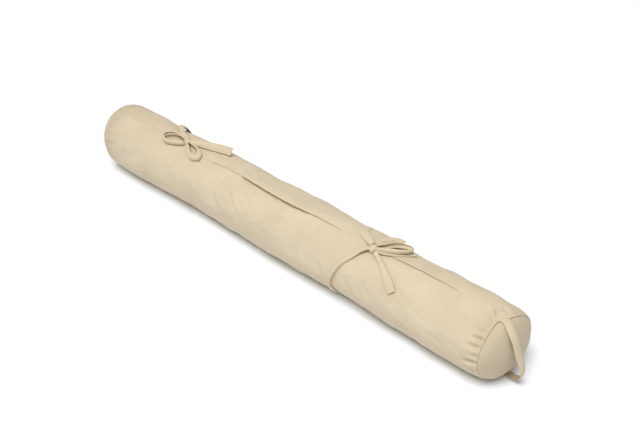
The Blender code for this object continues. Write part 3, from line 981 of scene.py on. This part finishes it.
make_panel("end_panel_left_cloth", -1, "end_panel_left")
make_panel("end_panel_right_cloth", 1, "end_panel_right")

# %% [markdown]
# ## Ties as real ribbons
#
# A tie is a strip 15 mm wide, folded and stitched. Where it is pulled tight it curls into a rounded
# bundle. So each stretch is laid along a smooth run of places over the cover, and its section is an arc
# that closes up where the strip is bunched. The arc is then pressed lower, which costs some cloth: its
# surface is 15 mm wide where the strip lies flat, but only about 12 mm where it is bunched tightest.
# The section has the strip's thickness all round, and tail ends are doubled by a hem.

# %% Laying things on the cover
cover_skin = tree_of(cover_cloth)


def on_cover(x, around, lift):
    """A place above the cover's real cloth, and the direction away from the cloth there."""
    out = outward(around)
    start = AXIS + Vector((x, 0.0, 0.0)) + out * 0.15
    hit = cover_skin.ray_cast(start, -out)[0] or start - out * (0.15 - RADIUS)
    up = Vector((0.0, 0.0, -1.0)) if hit.z < groove(x) + 0.4 * MM else out
    return hit + up * lift, up


ARC_POINTS = 7
ARC_FLATNESS = 0.72          # a pressed bundle is lower than a free arc
MOST_CURL = 2.2              # half the arc's angle in radians, where it shows 5.5 mm
HEM_LENGTH = 7.5 * MM
HEM_FULLNESS = 1.7


def section(width, thick):
    """The strip's curled section as (across, up) points, round its outer and inner faces."""
    narrow = min(width / TIE_WIDTH, 0.998)
    low, high = 0.01, MOST_CURL
    for _ in range(30):
        half = (low + high) / 2
        low, high = (half, high) if math.sin(half) / half > narrow else (low, half)
    bend = TIE_WIDTH / (2 * half)
    outer, inner = [], []
    for k in range(ARC_POINTS):
        turn = half * (2 * k / (ARC_POINTS - 1) - 1)
        for rows, size in ((outer, bend + thick / 2), (inner, bend - thick / 2)):
            rows.append((
                size * math.sin(turn), ARC_FLATNESS * (size * math.cos(turn) - bend * math.cos(half))))
    return outer + inner[::-1]


# %% The ribbon itself
def ribbon_mesh(name, stations, hemmed):
    """A closed ribbon through (middle, up, width) stations, with a flat length in its coordinates."""
    middles = [station[0] for station in stations]
    run = [0.0]
    for a, b in zip(middles, middles[1:]):
        run.append(run[-1] + (b - a).length)
    bm = bmesh.new()
    uv = bm.loops.layers.uv.new("cloth")
    loops, marks = [], {}
    for i, (middle, up, width) in enumerate(stations):
        forward = heading_at(middles, i)
        across = forward.cross(up).normalized()
        square = across.cross(forward).normalized()
        from_end = run[-1] - run[i] if hemmed else 1.0
        thick = TIE_THICKNESS * (HEM_FULLNESS if from_end < HEM_LENGTH else 1.0)
        ring = []
        for k, (side, height) in enumerate(section(width, thick)):
            vertex = bm.verts.new(middle + across * side + square * height)
            along = from_end if from_end < 1.0 else 1.0 + run[i]
            share = k if k < ARC_POINTS else 2 * ARC_POINTS - 1 - k
            marks[vertex] = (TIE_WIDTH * share / (ARC_POINTS - 1), along)
            ring.append(vertex)
        loops.append(ring)
    for a, b in zip(loops, loops[1:]):
        for k in range(len(a)):
            bm.faces.new((a[k], a[(k + 1) % len(a)], b[(k + 1) % len(b)], b[k]))
    for ring in (loops[0], loops[-1]):
        for k in range(ARC_POINTS - 1):
            bm.faces.new((ring[k], ring[k + 1], ring[-k - 2], ring[-k - 1]))
    for face in bm.faces:
        for loop in face.loops:
            loop[uv].uv = marks[loop.vert]
    bmesh.ops.recalc_face_normals(bm, faces=bm.faces)
    mesh = bpy.data.meshes.new(name)
    bm.to_mesh(mesh)
    bm.free()
    return mesh, run[-1]


def add_ribbon(name, parts, node, hemmed=False):
    """Make one piece from runs of stations. A hemmed one has its last end doubled."""
    bm = bmesh.new()
    for stations in parts:
        mesh, length = ribbon_mesh(name, stations, hemmed)
        bm.from_mesh(mesh)
        bpy.data.meshes.remove(mesh)
    mesh = bpy.data.meshes.new(name)
    bm.to_mesh(mesh)
    bm.free()
    piece = bpy.data.objects.new(name, mesh)
    bpy.context.scene.collection.objects.link(piece)
    apply_modifier(piece, "SUBSURF", "Softness", levels=1, render_levels=1)
    finish_piece(piece, tie_cloth, "tie_cloth", node)


def stations_on_cover(rows, steps=6):
    """Stations of a fold table, laid over the real cover and smoothed."""
    run = catmull([tuple(row) for row in rows], steps)
    places = [on_cover(row[0] * MM, row[1], row[2] * MM) for row in run]
    middles = [place[0] for place in places]
    ups = [place[1] for place in places]
    for _ in range(4):
        inner = [a * 0.25 + b * 0.5 + c * 0.25 for a, b, c in zip(middles, middles[1:], middles[2:])]
        middles = [middles[0]] + inner + [middles[-1]]
        inner = [(a + b * 2 + c).normalized() for a, b, c in zip(ups, ups[1:], ups[2:])]
        ups = [ups[0]] + inner + [ups[-1]]
    stations = []
    for i, row in enumerate(run):
        forward = heading_at(middles, i)
        up = Matrix.Rotation(math.radians(row[3]), 3, forward) @ ups[i]
        stations.append((middles[i], up, row[4] * MM))
    return stations


# %% [markdown]
# ## The right tie
#
# The tie goes right round the tube through the groove below it. On the viewer's side it is bunched
# tight, on the far side it lies flat. Its ends meet in a bow: one loop stands up on its edge like a
# teardrop, one lies behind it, one tail hangs toward the viewer and one lies back over the top.

# %% Tables of the right tie
Fold = namedtuple("Fold", "x around lift lean width")
RIGHT_TIE_WRAP = table(
    Fold,  # mm along, degrees round, mm up; degrees of lean; visible width in mm
    (191, 16.5, 4.6, 20, 5.5), (181, 24, 3.2, 15, 5.8), (171, 38.5, 1, 5, 5.2),
    (158, 56, 0.3, 0, 5), (146.5, 80, 0.2, 0, 5.2), (138.5, 106, 0.2, 0, 7),
    (138.5, 130, 0.5, 0, 10.5), (141, 152, 1, 0, 13.5), (143, 180, 1.2, 0, 14.5),
    (143, 210, 1.2, 0, 14.5), (143, 232, 1.2, 0, 14.5), (143, 270, 1, 0, 14.5),
    (144.5, 310, 1, 0, 14.5), (151, 343, 1, 6, 14.4), (162.5, 355, 1.7, 14, 14),
    (175.5, 362.5, 2.9, 18, 12), (190, 369, 3.8, 10, 8),
)
RIGHT_LOOP_FRONT = table(
    Fold,
    (198.5, 13, 5, 80, 6.5), (210, 9.5, 6, 78, 7), (221, 4.5, 6.8, 82, 7.4),
    (231, -1.5, 7.4, 100, 7.4), (238.5, -8.5, 8.2, 122, 7.2), (240.5, -16, 8.8, 132, 7),
    (235, -21, 9.2, 134, 6.6), (225, -18, 9, 130, 6.4), (216, -8, 8, 118, 6.4),
    (208, 3, 6.8, 100, 6.2), (199, 9.5, 5.4, 80, 6),
)
RIGHT_LOOP_BACK = table(
    Fold,
    (195.5, 8, 5.2, 50, 6.5), (196, -2, 5, 46, 9), (199, -12, 5, 44, 10.5), (204, -23, 5, 44, 11),
    (211, -30, 5, 44, 11), (216.5, -28, 5, 44, 11), (213.5, -17, 4.8, 46, 10.5),
    (206, -5, 4.8, 50, 9), (199.5, 6, 5, 50, 6.5),
)
RIGHT_TAIL_FRONT = table(
    Fold,
    (201.5, 18, 3.8, 10, 5.5), (212.5, 22.8, 1.6, 8, 6), (223.5, 29.2, 1, 5, 8.5),
    (236, 39, 1.1, 5, 12.5), (250, 49, 1.7, 6, 14.8), (259, 57, 2.4, 8, 14.9),
)
RIGHT_TAIL_BACK = table(
    Fold,
    (201, 14, 2.8, 0, 7), (215, 9, 1.6, 0, 10), (231, -4, 1.4, 0, 13), (239, -14, 1.4, 0, 14.5),
    (245, -24, 1.4, 0, 14.8),
)

# %% Lay the right tie
def lay_strips(*strips):
    """Lay strips on the cover, each (name, what it stands for, table, how it is held)."""
    for name, node, rows, held in strips:
        add_ribbon(name, [stations_on_cover(rows)], node, hemmed=held == "laid")


lay_strips(
    ("right_tie_strip", "right_tie_wrap", RIGHT_TIE_WRAP, "folded"),
    ("right_loop_front_strip", "right_loop_front", RIGHT_LOOP_FRONT, "folded"),
    ("right_loop_back_strip", "right_loop_back", RIGHT_LOOP_BACK, "folded"),
    ("right_tail_front_strip", "right_tail_front", RIGHT_TAIL_FRONT, "laid"),
    ("right_tail_back_strip", "right_tail_back", RIGHT_TAIL_BACK, "laid"),
)

# %% [markdown]
# ## The left tie
#
# The left tie is shorter. Its far strap is stitched into the cover, one loop lies open like an arch,
# one hangs toward the viewer like a U, and its tails point along the tube.

# %% Tables of the left tie
LEFT_TIE_STRAP = table(
    Fold,
    (-239, 1, 4.8, 8, 7.5), (-254, -3, 6.6, 5, 8.5), (-269, -9.5, 8.4, 0, 9.5),
    (-284, -21, 8.8, 0, 10.5), (-295, -36, 6.4, 0, 12.5), (-300, -58, 2.4, 0, 14.6),
    (-301, -82, 0.9, 0, 14.8),
)
LEFT_LOOP_SIDE = table(
    Fold,
    (-239.5, 5.5, 5.4, 60, 6.5), (-253, 2.5, 6.6, 48, 9), (-266, 1.5, 7.6, 46, 10.5),
    (-278, 4, 8, 46, 11), (-285.5, 12, 7.4, 50, 11), (-281, 20.5, 6.2, 64, 10.5),
    (-268, 22.5, 5.4, 76, 9.5), (-254, 18.5, 5.2, 78, 8.5), (-240, 11, 5.2, 78, 6.5),
)
LEFT_LOOP_FRONT = table(
    Fold,
    (-231.5, 8.5, 5, 70, 6), (-221, 15.5, 4.6, 60, 7.5), (-212, 22, 4.4, 52, 9),
    (-203, 26, 4.4, 46, 10), (-194, 25, 4.4, 44, 10), (-190, 18.5, 4.4, 46, 9.5),
    (-197, 12.5, 4.4, 56, 8.5), (-208, 9.5, 4.4, 66, 7.5), (-219, 8, 4.8, 74, 6.5),
    (-231.5, 6.5, 5, 78, 6),
)
LEFT_TAIL_LONG = table(
    Fold,
    (-231, 2.8, 5, 15, 7), (-215, -1, 5.6, 36, 11), (-198, -5, 6.6, 48, 13.5),
    (-180, -10, 7.6, 54, 14.7), (-166, -13.5, 8.4, 58, 14.9), (-150.5, -17.5, 8.8, 58, 14.9),
)
LEFT_TAIL_SHORT = table(
    Fold,
    (-233.5, -1.5, 4, 10, 6.5), (-224, -11, 2.4, 10, 8), (-214, -17, 1.6, 5, 10.5),
    (-204, -22.5, 1.4, 0, 13),
)

# %% Lay the left tie
lay_strips(
    ("left_tie_strip", "left_tie_strap", LEFT_TIE_STRAP, "folded"),
    ("left_loop_side_strip", "left_loop_side", LEFT_LOOP_SIDE, "folded"),
    ("left_loop_front_strip", "left_loop_front", LEFT_LOOP_FRONT, "folded"),
    ("left_tail_long_strip", "left_tail_long", LEFT_TAIL_LONG, "laid"),
    ("left_tail_short_strip", "left_tail_short", LEFT_TAIL_SHORT, "laid"),
)

# %% [markdown]
# ## The knots
#
# In a bow the strip passes once round its own middle. Each knot is that wrap: a turn of bunched strip
# round the strands, and a second turn that crosses it aslant. Their ends lie hidden underneath.

# %% Knots
Knot = namedtuple("Knot", "name node x around lift heading wide high")
KNOTS = table(
    Knot,  # mm, degrees, mm; degrees the strands head; mm of the wrap's half sizes
    ("left_bow_knot_strip", "left_bow_knot", -235.5, 4.5, 4.2, 25, 4.1, 2.6),
    ("right_bow_knot_strip", "right_bow_knot", 195, 14, 3.8, -20, 3.9, 2.3),
)


KNOT_TURNS = 1.08
KNOT_STEPS = 26


def wrap_stations(knot, twist, grow, width):
    """Stations of one turn of strip round a knot's strands."""
    centre, up = on_cover(knot.x * MM, knot.around, knot.lift * MM)
    toward = Vector((0.0, -up.z, up.y))
    turn = math.radians(knot.heading + twist)
    strands = Vector((1.0, 0.0, 0.0)) * math.cos(turn) + toward * math.sin(turn)
    across = up.cross(strands).normalized()
    stations = []
    for i in range(KNOT_STEPS + 1):
        angle = 2 * math.pi * KNOT_TURNS * (i / KNOT_STEPS - 0.5) + math.pi / 2
        out = across * math.cos(angle) * knot.wide * grow * MM + up * math.sin(angle) * knot.high * grow * MM
        slide = strands * 1.2 * MM * (i / KNOT_STEPS - 0.5)
        stations.append((centre + out + slide, out.normalized(), width * MM))
    return stations


for knot in KNOTS:
    turns = [wrap_stations(knot, 0.0, 0.88, 13.0), wrap_stations(knot, 30.0, 1.0, 9.5)]
    add_ribbon(knot.name, turns, knot.node)

# %% [markdown]
# ## The carrying strap
#
# A strap of the same strip is sewn into the end seam at the top, hangs clear of the panel in a long
# bow, turns back at the floor and is sewn in again below. It is only slightly cupped, and it turns a
# little as it hangs, so its face is told at every row as a heading from +Y toward +X.

# %% End loop
LoopRow = namedtuple("LoopRow", "out height side face width")
LOOP_PLANE = 0.434           # where the seam lies along the tube
END_LOOP = table(
    LoopRow,  # mm beyond that plane, above the floor and toward +Y; degrees; visible width
    (-13, 103.8, -6.5, 22, 14), (-9.8, 107.7, -7.3, 22, 14.2), (-5.5, 108.6, -8, 22, 13.6),
    (-0.2, 106.4, -10.4, 22, 13), (4.2, 102.9, -12.3, 22, 12.8), (7.8, 99.2, -13.1, 21, 12.8),
    (11.6, 94.6, -13.6, 20, 12.8), (15.3, 87.3, -13, 18, 12.8), (18.7, 77.1, -12, 16, 13),
    (21.9, 66.3, -11, 13, 13.5), (25.4, 55.5, -9.4, 8, 13.2), (28.2, 45.5, -7.6, 2, 13),
    (29.4, 34, -5.5, -6, 12.6), (27, 19, -2, -6, 12.4), (19, 7.2, 1.5, 0, 12.4),
    (11, 3.8, 3.5, 0, 12.8), (4, 2.6, 5, 0, 13), (-0.5, 2, 5.5, 0, 13), (-2.6, 3.6, 5.5, 0, 13),
)


def loop_stations():
    run = catmull([tuple(row) for row in END_LOOP], 5)
    middles = [
        Vector((AXIS.x + LOOP_PLANE + out * MM, AXIS.y + side * MM, height * MM))
        for out, height, side, _, _ in run
    ]
    stations = []
    for i, middle in enumerate(middles):
        forward = heading_at(middles, i)
        face = math.radians(run[i][3])
        stations.append((middle, forward.cross(Vector((math.sin(face), math.cos(face), 0.0))), run[i][4] * MM))
    return stations


add_ribbon("end_loop_strip", [loop_stations()], "end_loop")

# %% [markdown]
# ## Studio
#
# The tube lies on a plain white floor under a broad soft light above its front, with a small lamp over
# its right half and a white room all round. The floor's own brightness stays at white, so the tube's
# soft shadow is all that marks it.

# %% Floor, light and room
bpy.ops.mesh.primitive_plane_add(size=8.0, location=(0.0, 0.0, 0.0))
floor = bpy.context.object
floor.name = "floor"
paint = bpy.data.materials.new("floor_white")
paint.use_nodes = True
coat = paint.node_tree.nodes["Principled BSDF"].inputs
coat["Base Color"].default_value = (0.93, 0.955, 1.0, 1.0)
coat["Roughness"].default_value = 0.95
coat["Specular IOR Level"].default_value = 0.1
floor.data.materials.append(paint)


def add_softbox(name, direction, spread, strength):
    """Even light from a broad source in the given direction, so the floor has no bright middle."""
    bpy.ops.object.light_add(type="SUN", location=Vector(direction) * 3.0)
    lamp = bpy.context.object
    lamp.name = name
    lamp.data.angle = math.radians(spread)
    lamp.data.energy = strength
    lamp.rotation_euler = Vector(direction).to_track_quat("Z", "Y").to_euler()


add_softbox("key", (0.04, -0.34, 0.94), 36.0, 2.10)
OVERHEAD = Vector((0.22, -0.40, 1.15))
bpy.ops.object.light_add(type="AREA", location=OVERHEAD)
overhead = bpy.context.object
overhead.name = "overhead"
overhead.data.size = 0.7
overhead.data.energy = 2.8
overhead.rotation_euler = (OVERHEAD - Vector((OVERHEAD.x, 0.0, 0.0))).to_track_quat("Z", "Y").to_euler()
world = bpy.data.worlds.new("studio")
bpy.context.scene.world = world
world.use_nodes = True
backdrop = world.node_tree.nodes["Background"].inputs
backdrop["Color"].default_value = (1.0, 1.0, 1.0, 1.0)
backdrop["Strength"].default_value = 0.47
bpy.context.scene.view_settings.view_transform = "Standard"
